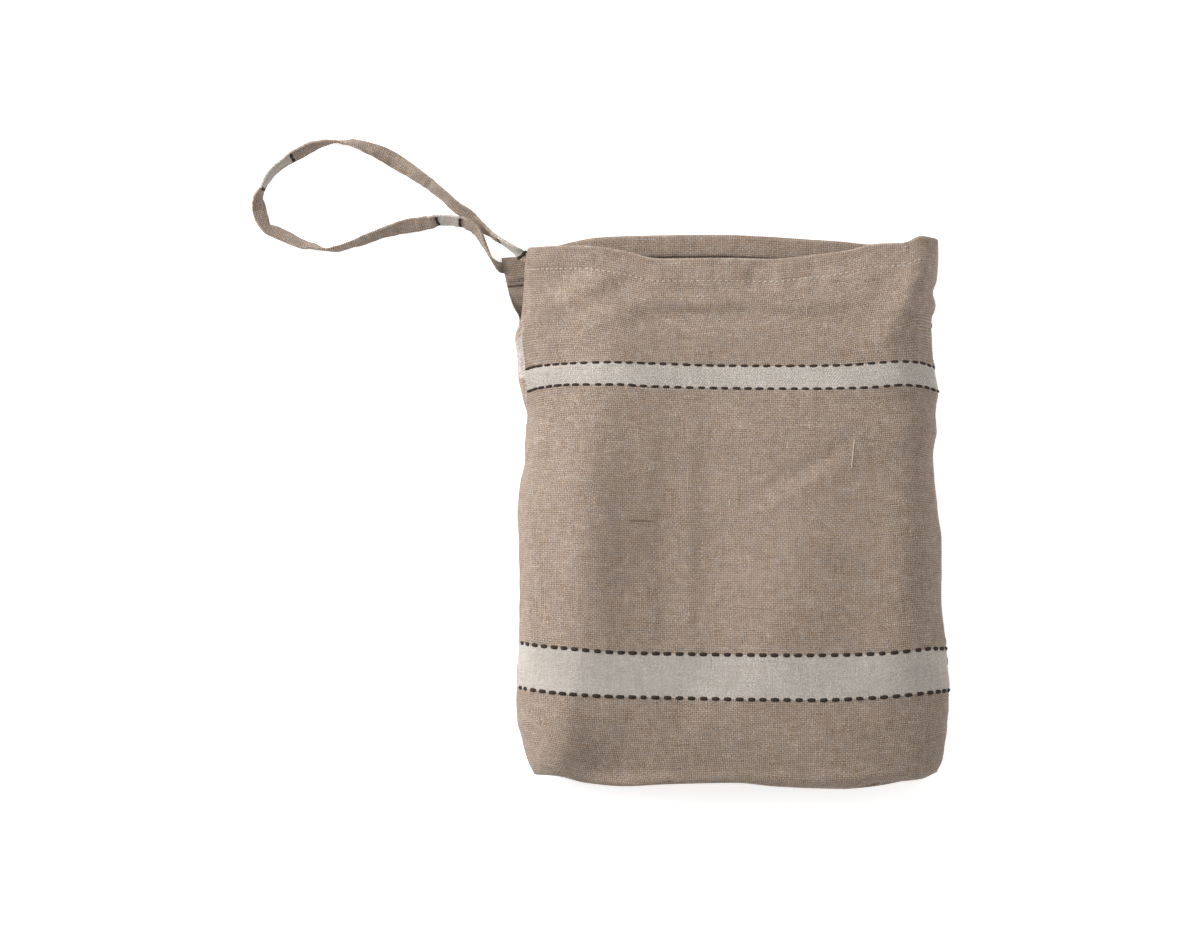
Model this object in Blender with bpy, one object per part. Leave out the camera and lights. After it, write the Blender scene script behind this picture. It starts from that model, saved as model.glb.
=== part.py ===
"""Linen drawstring pouch lying on its back, its mouth towards +Y and its tape loop laid out at the left.

+Z is up from the surface, +X is the right of the front panel, and the origin is the bottom centre of the
cloth's box. The cloth is one strip that runs down the front, round the base and up the back. It is drawn here
as a ring of columns, front and back, times rows from the base to the mouth, with an outer and an inner skin.
At the mouth the cloth is turned in and stitched down, which leaves a tunnel for the tape.
"""

from collections import namedtuple
from math import cos, exp, hypot, pi, radians, sin, sqrt

import bpy
from mathutils import Vector

# Driving dimensions in metres
POUCH_WIDTH = 0.2058
POUCH_HEIGHT = 0.2545
FULLNESS = 0.042
CLOTH = 0.0012
HEM_CLOTH = 0.001
TAPE_WIDTH = 0.0071
TAPE_THICKNESS = 0.0015
TAPE_PLAY = 0.0005
HEM_TAIL = 0.0035
HEM_STEP = 0.0006
STITCH_LAND = 0.0015
SLIT_DEPTH = 0.036
BASE_ROUND = 0.006
BASE_DEPTH_ROUND = 0.008
BACK_ROUND = 0.005
SIDE_ROUND = 0.0035
BASE_BULGE = 0.0001

# What the tape needs of its casing
TUNNEL_HEIGHT = TAPE_WIDTH + 2 * TAPE_PLAY
TUNNEL_GAP = TAPE_THICKNESS + 2 * TAPE_PLAY
CASING_WALL = CLOTH + TUNNEL_GAP + HEM_CLOTH
STITCH_WALL = CASING_WALL - STITCH_LAND
TUNNEL_TOP = CLOTH
TUNNEL_BOTTOM = TUNNEL_TOP + TUNNEL_HEIGHT
STITCH_DEPTH = TUNNEL_BOTTOM + STITCH_LAND
HEM_DEPTH = TUNNEL_BOTTOM + HEM_TAIL

# Sections from the base up. at is a share of POUCH_HEIGHT. left_front, left_back and right are the edges as
# shares of POUCH_WIDTH. rise is the front's height as a share of FULLNESS, and seam the widest point's height
# as a share of the rise. shoulder is the front's squareness, and flat the share of the half width that lies
# flat.
Section = namedtuple("Section", "at left_front left_back right rise seam shoulder flat")
SECTIONS = [
    Section(0.036, -0.437, -0.437, 0.485, 0.80, 0.46, 5.0, 0.86),
    Section(0.079, -0.452, -0.452, 0.488, 0.85, 0.45, 5.0, 0.85),
    Section(0.133, -0.466, -0.466, 0.498, 0.90, 0.44, 4.8, 0.84),
    Section(0.180, -0.467, -0.467, 0.500, 0.93, 0.42, 4.5, 0.82),
    Section(0.253, -0.462, -0.462, 0.494, 0.96, 0.40, 4.2, 0.81),
    Section(0.341, -0.458, -0.458, 0.482, 0.99, 0.39, 4.0, 0.80),
    Section(0.450, -0.458, -0.458, 0.476, 1.00, 0.38, 4.0, 0.80),
    Section(0.558, -0.456, -0.456, 0.468, 0.97, 0.38, 4.2, 0.80),
    Section(0.598, -0.449, -0.449, 0.466, 0.95, 0.38, 4.4, 0.81),
    Section(0.648, -0.447, -0.447, 0.473, 0.92, 0.39, 4.7, 0.82),
    Section(0.672, -0.443, -0.443, 0.470, 0.90, 0.39, 5.0, 0.82),
    Section(0.719, -0.455, -0.455, 0.476, 0.86, 0.40, 5.5, 0.83),
    Section(0.742, -0.462, -0.462, 0.473, 0.84, 0.40, 6.0, 0.84),
    Section(0.775, -0.465, -0.465, 0.462, 0.80, 0.41, 6.5, 0.85),
    Section(0.814, -0.470, -0.470, 0.459, 0.76, 0.42, 7.0, 0.86),
    Section(0.847, -0.458, -0.460, 0.463, 0.71, 0.43, 8.0, 0.87),
    Section(0.874, -0.454, -0.476, 0.471, 0.67, 0.44, 9.0, 0.88),
    Section(0.896, -0.452, -0.484, 0.465, 0.64, 0.45, 10.0, 0.88),
    Section(0.919, -0.450, -0.490, 0.474, 0.61, 0.45, 10.0, 0.88),
    Section(0.959, -0.446, -0.500, 0.477, 0.57, 0.45, 10.0, 0.88),
    Section(0.992, -0.436, -0.500, 0.477, 0.55, 0.45, 10.0, 0.88),
]

# Edges across the pouch. across runs from -1 at the left edge to 1 at the right one. base, front_mouth and
# back_mouth are heights as shares of POUCH_HEIGHT.
Edge = namedtuple("Edge", "across base front_mouth back_mouth")
EDGES = [
    Edge(-1.00, 0.032, 0.979, 0.961),
    Edge(-0.90, 0.028, 0.980, 0.966),
    Edge(-0.75, 0.014, 0.981, 0.983),
    Edge(-0.55, 0.006, 0.974, 0.997),
    Edge(-0.35, 0.008, 0.958, 1.000),
    Edge(0.00, 0.011, 0.960, 1.000),
    Edge(0.20, 0.005, 0.958, 0.996),
    Edge(0.40, 0.000, 0.966, 0.993),
    Edge(0.55, 0.000, 0.973, 0.990),
    Edge(0.70, 0.012, 0.985, 0.985),
    Edge(0.90, 0.018, 0.997, 0.988),
    Edge(1.00, 0.034, 0.996, 0.996),
]

# Folds and dents of the front. The ends are shares of POUCH_WIDTH and POUCH_HEIGHT, width is a share of
# POUCH_WIDTH, and lift, down where negative, is a share of FULLNESS.
Fold = namedtuple("Fold", "start_x start_y end_x end_y width lift")
FOLDS = [
    Fold(-0.42, 0.890, -0.36, 0.930, 0.022, -0.03),
    Fold(-0.38, 0.875, -0.25, 0.925, 0.026, 0.03),
    Fold(-0.18, 0.872, 0.09, 0.876, 0.022, 0.03),
    Fold(-0.20, 0.850, 0.11, 0.852, 0.022, -0.03),
    Fold(0.06, 0.935, 0.22, 0.940, 0.030, -0.05),
    Fold(0.42, 0.945, 0.30, 0.830, 0.036, 0.07),
    Fold(0.43, 0.940, 0.42, 0.800, 0.054, 0.06),
    Fold(-0.42, 0.880, -0.41, 0.750, 0.134, -0.16),
    Fold(-0.065, 0.65, -0.07, 0.25, 0.148, -0.15),
    Fold(-0.31, 0.61, -0.32, 0.27, 0.080, 0.10),
    Fold(0.16, 0.41, 0.12, 0.25, 0.094, 0.05),
    Fold(0.42, 0.54, 0.42, 0.27, 0.070, 0.10),
    Fold(0.05, 0.510, 0.28, 0.625, 0.024, -0.03),
    Fold(-0.28, 0.0, -0.15, 0.08, 0.098, -0.16),
    Fold(0.38, 0.060, 0.44, 0.100, 0.030, -0.04),
]
FOLD_FADE = 10

# How far the free left end of the front panel droops at the slit, as a share of its rise
OPEN_DROOP = 0.42
OPEN_POWER = 6

# The loop of the tape from the front casing round to the back one, seen from above: x to the right and y down
# in steps of STEP, lift in millimetres over where it would rest, and turn in degrees of its width from level.
# ROUTE_ORIGIN lies midway between the casing's two open ends.
STEP = 0.00046
ROUTE_ORIGIN = (515.3, 263.5)
Route = namedtuple("Route", "x y lift turn")
TAPE_ROUTE = [
    Route(521, 254.2, 9.6, 150),
    Route(514.5, 249.6, 8.6, 112),
    Route(508, 245.3, 7.6, 104),
    Route(500, 240, 6.0, 100),
    Route(490, 233, 3.2, 105),
    Route(482, 227, 1.0, 120),
    Route(474, 220.5, 0, 134),
    Route(466, 213, 0, 134),
    Route(455.3, 206.3, 0, 130),
    Route(445.6, 196.8, 0, 125),
    Route(435, 188.3, 0, 128),
    Route(424.4, 180, 0, 135),
    Route(411.4, 171, 0, 145),
    Route(397.4, 162, 0, 170),
    Route(384.3, 154.5, 0, 200),
    Route(369.7, 148, 0, 223),
    Route(355, 143, 0, 244),
    Route(345, 141.7, 0, 259),
    Route(334, 141, 0, 272),
    Route(321.7, 142.7, 0, 290),
    Route(309.7, 146.7, 0, 310),
    Route(300, 152, 0, 312),
    Route(291.3, 156.7, 0, 311),
    Route(281.6, 163.3, 0, 300),
    Route(270, 173.8, 0, 296),
    Route(262.3, 186.8, 0, 285),
    Route(257.2, 197.6, 0, 305),
    Route(258.3, 208, 0, 336),
    Route(260.8, 217.4, 0, 330),
    Route(265.5, 227.6, 0, 306),
    Route(276, 232, 0, 318),
    Route(287, 237, 0, 314),
    Route(300, 243, 0, 303),
    Route(312.3, 246, 0, 287),
    Route(325, 249, 0, 270),
    Route(337, 248.2, 0, 254),
    Route(349.6, 244.5, 0, 252),
    Route(364.4, 239.3, 0, 237),
    Route(379.2, 233.5, 0, 236),
    Route(394.8, 228.5, 0, 220),
    Route(410.3, 225, 0, 202),
    Route(425.2, 222.7, 0, 210),
    Route(437, 219.9, 0.6, 228),
    Route(449, 219.8, 1.9, 232),
    Route(460, 221.5, 3.2, 232),
    Route(469, 224.5, 3.8, 234),
    Route(476, 230.5, 3.4, 240),
    Route(480.5, 237.5, 2.2, 250),
    Route(484, 245, 1.0, 258),
    Route(487.3, 251.3, 0.2, 266),
    Route(491, 257.7, 0, 270),
    Route(495.3, 262.5, 0, 284),
    Route(499, 265.8, 0.5, 315),
]
TAPE_STATION = 0.0046
ROUTE_FINE = 12
ROUTE_CLEAR = 0.0003

# Ring columns and rows of the mesh
MIDDLE_COLUMNS = 20
MIDDLE_SHARE = 0.72
SIDE_ACROSS = (0.80, 0.87, 0.92, 0.96, 0.988, 1.0)
BODY_ROWS = 14
BASE_TURNS = (78, 52, 26)
SLIT_ROWS = (0.0, 0.33, 0.66)
RIM_SHARE = 0.4

# Small steps that give the slope of the cloth along a column
DEPTH_STEP = 0.0008
TURN_STEP = 6
STEEPEST_TURN = 89
SHARE_STEP = 0.01

SHARP_ANGLE = 50
LINEN = (0.33, 0.25, 0.19, 1.0)
TAPE_LINEN = (0.42, 0.34, 0.27, 1.0)

Row = namedtuple("Row", "depth share turn inside")


def blend(knots, at):
    """The value at a place along (place, value) knots, on a smooth curve that never overshoots."""
    if at <= knots[0][0]:
        return knots[0][1]
    if at >= knots[-1][0]:
        return knots[-1][1]
    slopes = [(b[1] - a[1]) / (b[0] - a[0]) for a, b in zip(knots, knots[1:])]
    k = max(i for i, knot in enumerate(knots) if knot[0] <= at)
    ends = []
    for i in (k, k + 1):
        before, after = slopes[max(i - 1, 0)], slopes[min(i, len(slopes) - 1)]
        ends.append(2 * before * after / (before + after) if before * after > 0 else 0.0)
    (start, first), (stop, last) = knots[k], knots[k + 1]
    run = stop - start
    t = (at - start) / run
    bend_in = ends[0] * run
    bend_out = ends[1] * run
    rest = (3 - 2 * t) * t * t
    return first * (1 - rest) + last * rest + bend_in * t * (1 - t) ** 2 - bend_out * t * t * (1 - t)


def column(table, key, name, at):
    return blend([(getattr(row, key), getattr(row, name)) for row in table], at)


def smooth(t):
    t = min(max(t, 0.0), 1.0)
    return t * t * (3 - 2 * t)


def across_values():
    """Places of one panel's columns, from -1 at the left seam to 1 at the right one."""
    middle = [MIDDLE_SHARE * (2 * k / MIDDLE_COLUMNS - 1) for k in range(MIDDLE_COLUMNS + 1)]
    sides = list(SIDE_ACROSS)
    return [-a for a in reversed(sides)] + middle + sides


ACROSS = across_values()
PANEL = len(ACROSS) - 1
RING = 2 * PANEL


def ring_place(index):
    """Whether a ring column is on the front, and its place across. The ring runs along the front to the right
    seam and back along the back."""
    if index <= PANEL:
        return True, ACROSS[index]
    return False, ACROSS[RING - index]


def row_height(row, across, front):
    """y of a row, as a height over the base line."""
    mouth = column(EDGES, "across", "front_mouth" if front else "back_mouth", across) * POUCH_HEIGHT
    base = column(EDGES, "across", "base", across) * POUCH_HEIGHT
    if row.depth is not None:
        return mouth - row.depth
    start = base + BASE_ROUND
    height = start + row.share * (mouth - SLIT_DEPTH - start)
    return height - BASE_ROUND * sin(radians(row.turn))


def fold_lift(x, y, across):
    total = 0.0
    for fold in FOLDS:
        ax, ay = fold.start_x * POUCH_WIDTH, fold.start_y * POUCH_HEIGHT
        bx, by = fold.end_x * POUCH_WIDTH, fold.end_y * POUCH_HEIGHT
        along = ((x - ax) * (bx - ax) + (y - ay) * (by - ay)) / ((bx - ax) ** 2 + (by - ay) ** 2)
        along = min(max(along, 0.0), 1.0)
        away = hypot(x - ax - along * (bx - ax), y - ay - along * (by - ay))
        total += fold.lift * FULLNESS * exp(-((away / (fold.width * POUCH_WIDTH)) ** 2))
    return total * (1 - abs(across) ** FOLD_FADE)


def cloth_point(index, row):
    """A point of the outer skin."""
    front, across = ring_place(index)
    height = row_height(row, across, front)
    at = height / POUCH_HEIGHT
    open_share = 0.0
    if row.depth is not None and across < 0:
        open_share = smooth((SLIT_DEPTH - row.depth) / (SLIT_DEPTH - HEM_DEPTH))
    left = column(SECTIONS, "at", "left_front" if front else "left_back", at) * POUCH_WIDTH
    right = column(SECTIONS, "at", "right", at) * POUCH_WIDTH
    inset = 1 - cos(radians(row.turn))
    half = (right - left) / 2 - SIDE_ROUND * inset
    x = (left + right) / 2 + across * half
    rise = column(SECTIONS, "at", "rise", at) * FULLNESS
    widest = rise * column(SECTIONS, "at", "seam", at)
    away = abs(across)
    if front:
        top = rise - BASE_DEPTH_ROUND * inset
        power = column(SECTIONS, "at", "shoulder", at)
        closed = widest + (top - widest) * sqrt(max(1 - away**power, 0.0))
        opened = rise * (1 - OPEN_DROOP * away**OPEN_POWER)
        slack = 1.0 if row.depth is None else smooth(row.depth / SLIT_DEPTH)
        z = closed + (opened - closed) * open_share + fold_lift(x, height, across) * slack
    else:
        flat = column(SECTIONS, "at", "flat", at)
        curl = max(away - flat, 0.0) / (1 - flat)
        low = BACK_ROUND * inset
        closed = widest - (widest - low) * sqrt(max(1 - curl * curl, 0.0))
        z = closed * (1 - open_share)
    return Vector((x, height - POUCH_HEIGHT / 2, z))


def rows_of_cloth():
    """Rows from the base to the mouth, each with the thickness from outer to inner skin."""
    rows = [Row(None, 0.0, turn, CLOTH) for turn in BASE_TURNS]
    rows += [Row(None, k / BODY_ROWS, 0, CLOTH) for k in range(BODY_ROWS)]
    lowest = HEM_DEPTH + HEM_STEP
    rows += [Row(SLIT_DEPTH - share * (SLIT_DEPTH - lowest), None, 0, CLOTH) for share in SLIT_ROWS]
    rows.append(Row(lowest, None, 0, CLOTH))
    rows.append(Row(HEM_DEPTH, None, 0, CLOTH + HEM_CLOTH))
    rows.append(Row(STITCH_DEPTH, None, 0, STITCH_WALL))
    rows.append(Row(TUNNEL_BOTTOM, None, 0, CASING_WALL))
    rows.append(Row((TUNNEL_TOP + TUNNEL_BOTTOM) / 2, None, 0, CASING_WALL))
    rows.append(Row(RIM_SHARE * CLOTH, None, 0, CASING_WALL))
    return rows


def neighbours(index, open_row):
    if open_row:
        return max(index - 1, 0), min(index + 1, RING)
    return (index - 1) % RING, (index + 1) % RING


def inward(index, row):
    """The unit vector from the outer skin into the pouch."""
    before, after = neighbours(index, row.depth is not None and row.depth < SLIT_DEPTH)
    along = cloth_point(after, row) - cloth_point(before, row)
    if row.depth is not None:
        up = cloth_point(index, row._replace(depth=row.depth - DEPTH_STEP))
        down = cloth_point(index, row._replace(depth=row.depth + DEPTH_STEP))
    elif row.turn:
        up = cloth_point(index, row._replace(turn=row.turn - TURN_STEP))
        down = cloth_point(index, row._replace(turn=min(row.turn + TURN_STEP, STEEPEST_TURN)))
    else:
        up = cloth_point(index, row._replace(share=row.share + SHARE_STEP))
        down = cloth_point(index, row._replace(share=row.share - SHARE_STEP))
    return (up - down).cross(along).normalized()


def casing_point(index, depth, inside):
    """A point inside the casing's wall, at a depth under the mouth edge and from the outer skin."""
    row = Row(depth, None, 0, inside)
    return cloth_point(index, row) + inward(index, row) * inside


class Skin:
    """Collects the points and faces of one closed mesh."""

    def __init__(self):
        self.points = []
        self.faces = []

    def add(self, point):
        self.points.append(point)
        return len(self.points) - 1

    def quads(self, first, second):
        """Quads between two chains of points of equal length."""
        for a, b, c, d in zip(first, first[1:], second[1:], second):
            self.faces.append((a, b, c, d))


def cap(skin, ring, deepest, bulge):
    """Closes the base between the ring's front and back, its sides taking the seam columns."""
    side = len(SIDE_ACROSS)
    front = ring[side : PANEL - side + 1]
    right = ring[PANEL - side : PANEL + side + 1]
    back = [ring[(RING - k) % RING] for k in range(side, PANEL - side + 1)]
    left = [ring[side - k] for k in range(2 * side + 1)]
    grid = [front]
    for i in range(1, 2 * side):
        v = i / (2 * side)
        chain = [left[i]]
        for j in range(1, MIDDLE_COLUMNS):
            u = j / MIDDLE_COLUMNS
            p = skin.points
            sides = p[left[i]] * (1 - u) + p[right[i]] * u
            ends = p[front[j]] * (1 - v) + p[back[j]] * v
            low = p[front[0]] * (1 - u) + p[front[-1]] * u
            high = p[back[0]] * (1 - u) + p[back[-1]] * u
            point = sides + ends - low * (1 - v) - high * v
            point.y -= bulge * sin(pi * u) * sin(pi * v)
            chain.append(skin.add(point))
        chain.append(right[i])
        grid.append(chain)
    grid.append(back)
    for upper, lower in zip(grid, grid[1:]):
        if deepest:
            skin.quads(upper, lower)
        else:
            skin.quads(lower, upper)


def pouch_cloth():
    skin = Skin()
    rows = rows_of_cloth()
    outer, inner = [], []
    for row in rows:
        is_open = row.depth is not None and row.depth < SLIT_DEPTH
        count = RING + 1 if is_open else RING
        points = [cloth_point(k, row) for k in range(count)]
        outer.append([skin.add(point) for point in points])
        inner.append([skin.add(point + inward(k, row) * row.inside) for k, point in enumerate(points)])
        if not is_open:
            outer[-1].append(outer[-1][0])
            inner[-1].append(inner[-1][0])
    for lower, upper in zip(outer, outer[1:]):
        skin.quads(lower, upper)
    for lower, upper in zip(inner, inner[1:]):
        skin.quads(upper, lower)
    cap(skin, outer[0][:-1], False, BASE_BULGE)
    cap(skin, inner[0][:-1], True, BASE_BULGE)
    crest = rim(skin, outer[-1], inner[-1])
    tunnel(skin, rows, outer, inner, crest)
    return skin


def rim(skin, outer, inner):
    """The rounded mouth edge. Returns its crest."""
    crest = [skin.add(casing_point(k, 0.0, CASING_WALL / 2)) for k in range(RING + 1)]
    skin.quads(outer, crest)
    skin.quads(crest, inner)
    return crest


def tunnel(skin, rows, outer, inner, crest):
    """The tunnel through the casing, open at both sides of the slit, and the slit's two edges."""
    depths = (TUNNEL_BOTTOM, (TUNNEL_TOP + TUNNEL_BOTTOM) / 2, TUNNEL_TOP)
    near = [[skin.add(casing_point(k, d, CLOTH)) for k in range(RING + 1)] for d in depths]
    far = [[skin.add(casing_point(k, d, CLOTH + TUNNEL_GAP)) for k in range(RING + 1)] for d in depths]
    loop = near + far[::-1]
    for one, two in zip(loop, loop[1:] + loop[:1]):
        skin.quads(two, one)
    slit = [k for k, row in enumerate(rows) if row.depth == SLIT_DEPTH][0]
    bottom = slit + [k for k, row in enumerate(rows[slit:]) if row.depth == TUNNEL_BOTTOM][0]
    for end in (0, RING):
        outside = [ring[end] for ring in outer[slit:]]
        inside = [ring[end] for ring in inner[slit:]]
        walls = bottom - slit + 1
        strips = [(outside[:walls], inside[:walls])]
        strips.append((outside[walls - 1 :], [ring[end] for ring in near]))
        strips.append(([ring[end] for ring in far], inside[walls - 1 :]))
        for one, two in strips:
            if end == 0:
                skin.quads(one, two)
            else:
                skin.quads(two, one)
        low = (outside[walls - 1], near[0][end], far[0][end], inside[walls - 1])
        high = (outside[-1], near[-1][end], far[-1][end], inside[-1])
        close_casing_end(skin, end, low, high, crest[end])


def close_casing_end(skin, end, low, high, top):
    """Faces under and over the tunnel's mouth in the slit's edge."""
    for face in [low] + [(one, top, two) for one, two in zip(high, high[1:])]:
        skin.faces.append(face if end == 0 else face[::-1])


def route_points(middle):
    """The loop's points, laid out round the middle of the casing's two ends, each with its width's turn."""
    points = []
    for stop in TAPE_ROUTE:
        turn = radians(stop.turn)
        rest = (TAPE_WIDTH * abs(sin(turn)) + TAPE_THICKNESS * abs(cos(turn))) / 2
        x = middle.x + (stop.x - ROUTE_ORIGIN[0]) * STEP
        y = middle.y + (ROUTE_ORIGIN[1] - stop.y) * STEP
        points.append((Vector((x, y, rest + stop.lift / 1000 + ROUTE_CLEAR)), turn))
    return points


def smooth_route(points, spacing):
    """Stations at an even spacing along a smooth curve through the points."""
    fine = []
    for k in range(1, len(points) - 2):
        (a, _), (b, turn), (c, next_turn), (d, _) = points[k - 1 : k + 3]
        for step in range(ROUTE_FINE):
            t = step / ROUTE_FINE
            place = (
                a * (-t + 2 * t * t - t**3)
                + b * (2 - 5 * t * t + 3 * t**3)
                + c * (t + 4 * t * t - 3 * t**3)
                + d * (t**3 - t * t)
            ) / 2
            fine.append((place, turn + (next_turn - turn) * smooth(t)))
    length = sum((b[0] - a[0]).length for a, b in zip(fine, fine[1:]))
    count = round(length / spacing)
    stations, gone, aim = [], 0.0, 1
    for before, after in zip(fine, fine[1:]):
        gone += (after[0] - before[0]).length
        if gone >= aim * length / count and aim < count:
            stations.append(after)
            aim += 1
    return stations


def tape_corners(centre, wide, thick):
    half_wide, half_thick = wide * (TAPE_WIDTH / 2), thick * (TAPE_THICKNESS / 2)
    return [
        centre + half_wide + half_thick,
        centre - half_wide + half_thick,
        centre - half_wide - half_thick,
        centre + half_wide - half_thick,
    ]


def casing_station(index):
    """The tape's four corners inside the casing at a ring column."""
    middle = (TUNNEL_TOP + TUNNEL_BOTTOM) / 2
    near = CLOTH + TUNNEL_GAP / 2 - TAPE_THICKNESS / 2
    far = near + TAPE_THICKNESS
    top, bottom = middle - TAPE_WIDTH / 2, middle + TAPE_WIDTH / 2
    return [
        casing_point(index, top, far),
        casing_point(index, bottom, far),
        casing_point(index, bottom, near),
        casing_point(index, top, near),
    ]


def drawstring_tape():
    """One closed band: round the casing from the back's left end to the front's, then along the free loop."""
    skin = Skin()
    middle = (TUNNEL_TOP + TUNNEL_BOTTOM) / 2
    centre = CLOTH + TUNNEL_GAP / 2
    held = {k: casing_point(k, middle, centre) for k in (0, 1, RING - 1, RING)}
    points = [(held[1], radians(180)), (held[0], radians(180))]
    points += route_points((held[0] + held[RING]) / 2)
    points += [(held[RING], radians(360)), (held[RING - 1], radians(360))]
    stations = smooth_route(points, TAPE_STATION)
    rings = [casing_station(k) for k in range(RING, -1, -1)]
    places = [held[0]] + [place for place, _ in stations] + [held[RING]]
    for k, (place, turn) in enumerate(stations):
        forward = (places[k + 2] - places[k]).normalized()
        side = Vector((0, 0, 1)).cross(forward).normalized()
        up = forward.cross(side)
        wide = side * cos(turn) + up * sin(turn)
        rings.append(tape_corners(place, wide, forward.cross(wide)))
    chains = [[skin.add(point) for point in ring] for ring in rings]
    for one, two in zip(chains, chains[1:] + chains[:1]):
        skin.quads(one + one[:1], two + two[:1])
    return skin


def material(name, colour, roughness):
    made = bpy.data.materials.new(name)
    made.use_nodes = True
    shader = made.node_tree.nodes["Principled BSDF"]
    shader.inputs["Base Color"].default_value = colour
    shader.inputs["Roughness"].default_value = roughness
    shader.inputs["Metallic"].default_value = 0.0
    return made


def make_object(name, skin, look):
    mesh = bpy.data.meshes.new(name)
    mesh.from_pydata([tuple(point) for point in skin.points], [], skin.faces)
    mesh.materials.append(look)
    mesh.shade_smooth()
    mesh.set_sharp_from_angle(angle=radians(SHARP_ANGLE))
    made = bpy.data.objects.new(name, mesh)
    bpy.context.scene.collection.objects.link(made)
    return made


def clear_scene():
    for old in list(bpy.data.objects):
        bpy.data.objects.remove(old, do_unlink=True)


clear_scene()
make_object("pouch_cloth", pouch_cloth(), material("linen", LINEN, 0.95))
make_object("drawstring_tape", drawstring_tape(), material("tape_linen", TAPE_LINEN, 0.95))
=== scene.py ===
"""Looks of the linen drawstring pouch: its folded and sewn cloth, woven bands, stitches and tape loop."""

from collections import namedtuple
from math import cos, exp, hypot, pi, radians, sin

import bpy
import numpy as np
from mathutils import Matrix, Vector, noise


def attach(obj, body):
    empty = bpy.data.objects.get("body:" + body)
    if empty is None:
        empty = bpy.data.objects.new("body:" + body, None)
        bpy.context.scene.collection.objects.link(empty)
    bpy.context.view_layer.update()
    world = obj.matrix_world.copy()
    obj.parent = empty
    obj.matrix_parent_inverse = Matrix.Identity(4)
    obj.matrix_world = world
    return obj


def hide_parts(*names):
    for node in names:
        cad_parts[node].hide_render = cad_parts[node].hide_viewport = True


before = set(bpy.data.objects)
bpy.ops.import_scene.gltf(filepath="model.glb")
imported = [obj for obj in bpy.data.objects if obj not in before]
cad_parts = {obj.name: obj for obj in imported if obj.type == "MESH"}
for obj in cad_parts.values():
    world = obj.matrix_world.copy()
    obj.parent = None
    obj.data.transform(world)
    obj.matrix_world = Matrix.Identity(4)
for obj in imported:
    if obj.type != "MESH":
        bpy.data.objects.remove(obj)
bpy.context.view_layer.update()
scene = bpy.context.scene

# The photograph: the step of one pixel in metres, its size, and the pixel over the origin
PIXEL = 0.00046
PHOTO_SIZE = (1200, 929)
PHOTO_ORIGIN = (725.05, 512.05)


def place(px, py):
    """World x and y of a pixel of the photograph, which looks straight down."""
    return (px - PHOTO_ORIGIN[0]) * PIXEL, (PHOTO_ORIGIN[1] - py) * PIXEL


def table(name, columns, *rows):
    """Rows with named columns."""
    kind = namedtuple(name, columns)
    return [kind(*row) for row in rows]


# Camera, and the height over the floor at which a pixel has its step
CAMERA_HEIGHT = 9.0
SHARP_HEIGHT = 0.02
SENSOR = 36.0


def make_camera():
    data = bpy.data.cameras.new("camera")
    data.sensor_width = SENSOR
    data.lens = SENSOR * (CAMERA_HEIGHT - SHARP_HEIGHT) / (PHOTO_SIZE[0] * PIXEL)
    camera = bpy.data.objects.new("camera", data)
    x, y = place(PHOTO_SIZE[0] / 2, PHOTO_SIZE[1] / 2)
    camera.location = (x, y, CAMERA_HEIGHT)
    scene.collection.objects.link(camera)
    scene.camera = camera


make_camera()

# Sizes of the pouch, in metres
POUCH_WIDTH = 0.2058
POUCH_HEIGHT = 0.2545
FULLNESS = 0.042
SLIT_DEPTH = 0.036
CLOTH = 0.0005
CASING_WALL = 0.0031
TUNNEL_DEPTH = 0.0098
STITCH_DEPTH = 0.0108
HEM_DEPTH = 0.0132
HEM_WALL = 0.0011
BASE_ROUND = 0.006
BASE_DEPTH_ROUND = 0.008
BACK_ROUND = 0.005
SIDE_ROUND = 0.0035

# Sections at shares of the pouch's height: edges in shares of its width, rise in shares of the fullness, the
# seam's height in shares of the rise, the power of the shoulders, and the back's flat share
SECTIONS = table(
    "Section", "at left_front left_back right rise seam shoulder flat",
    (0.036, -0.437, -0.437, 0.485, 0.8, 0.46, 5, 0.86),
    (0.079, -0.453, -0.453, 0.493, 0.85, 0.45, 5, 0.85),
    (0.133, -0.467, -0.467, 0.502, 0.9, 0.44, 4.8, 0.84),
    (0.18, -0.468, -0.468, 0.503, 0.93, 0.42, 4.5, 0.82),
    (0.253, -0.464, -0.464, 0.497, 0.96, 0.4, 4.2, 0.81),
    (0.341, -0.462, -0.462, 0.486, 0.99, 0.39, 4, 0.8),
    (0.45, -0.464, -0.464, 0.487, 1, 0.38, 4, 0.8),
    (0.503, -0.466, -0.466, 0.477, 0.99, 0.38, 4.1, 0.8),
    (0.558, -0.459, -0.459, 0.471, 0.97, 0.38, 4.2, 0.8),
    (0.598, -0.449, -0.449, 0.466, 0.95, 0.38, 4.4, 0.81),
    (0.648, -0.448, -0.448, 0.475, 0.92, 0.39, 4.7, 0.82),
    (0.672, -0.443, -0.443, 0.47, 0.9, 0.39, 5, 0.82),
    (0.719, -0.455, -0.455, 0.479, 0.86, 0.4, 5.5, 0.83),
    (0.742, -0.462, -0.462, 0.473, 0.84, 0.4, 6, 0.84),
    (0.775, -0.464, -0.464, 0.468, 0.8, 0.41, 6.5, 0.85),
    (0.814, -0.47, -0.47, 0.464, 0.76, 0.42, 7, 0.86),
    (0.847, -0.458, -0.46, 0.463, 0.71, 0.43, 8, 0.87),
    (0.874, -0.454, -0.476, 0.471, 0.67, 0.44, 12, 0.88),
    (0.896, -0.452, -0.484, 0.465, 0.64, 0.45, 15, 0.88),
    (0.919, -0.45, -0.49, 0.474, 0.61, 0.45, 17, 0.88),
    (0.959, -0.446, -0.5, 0.477, 0.57, 0.45, 18, 0.88),
    (0.992, -0.436, -0.5, 0.477, 0.55, 0.45, 18, 0.88),
)
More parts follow.
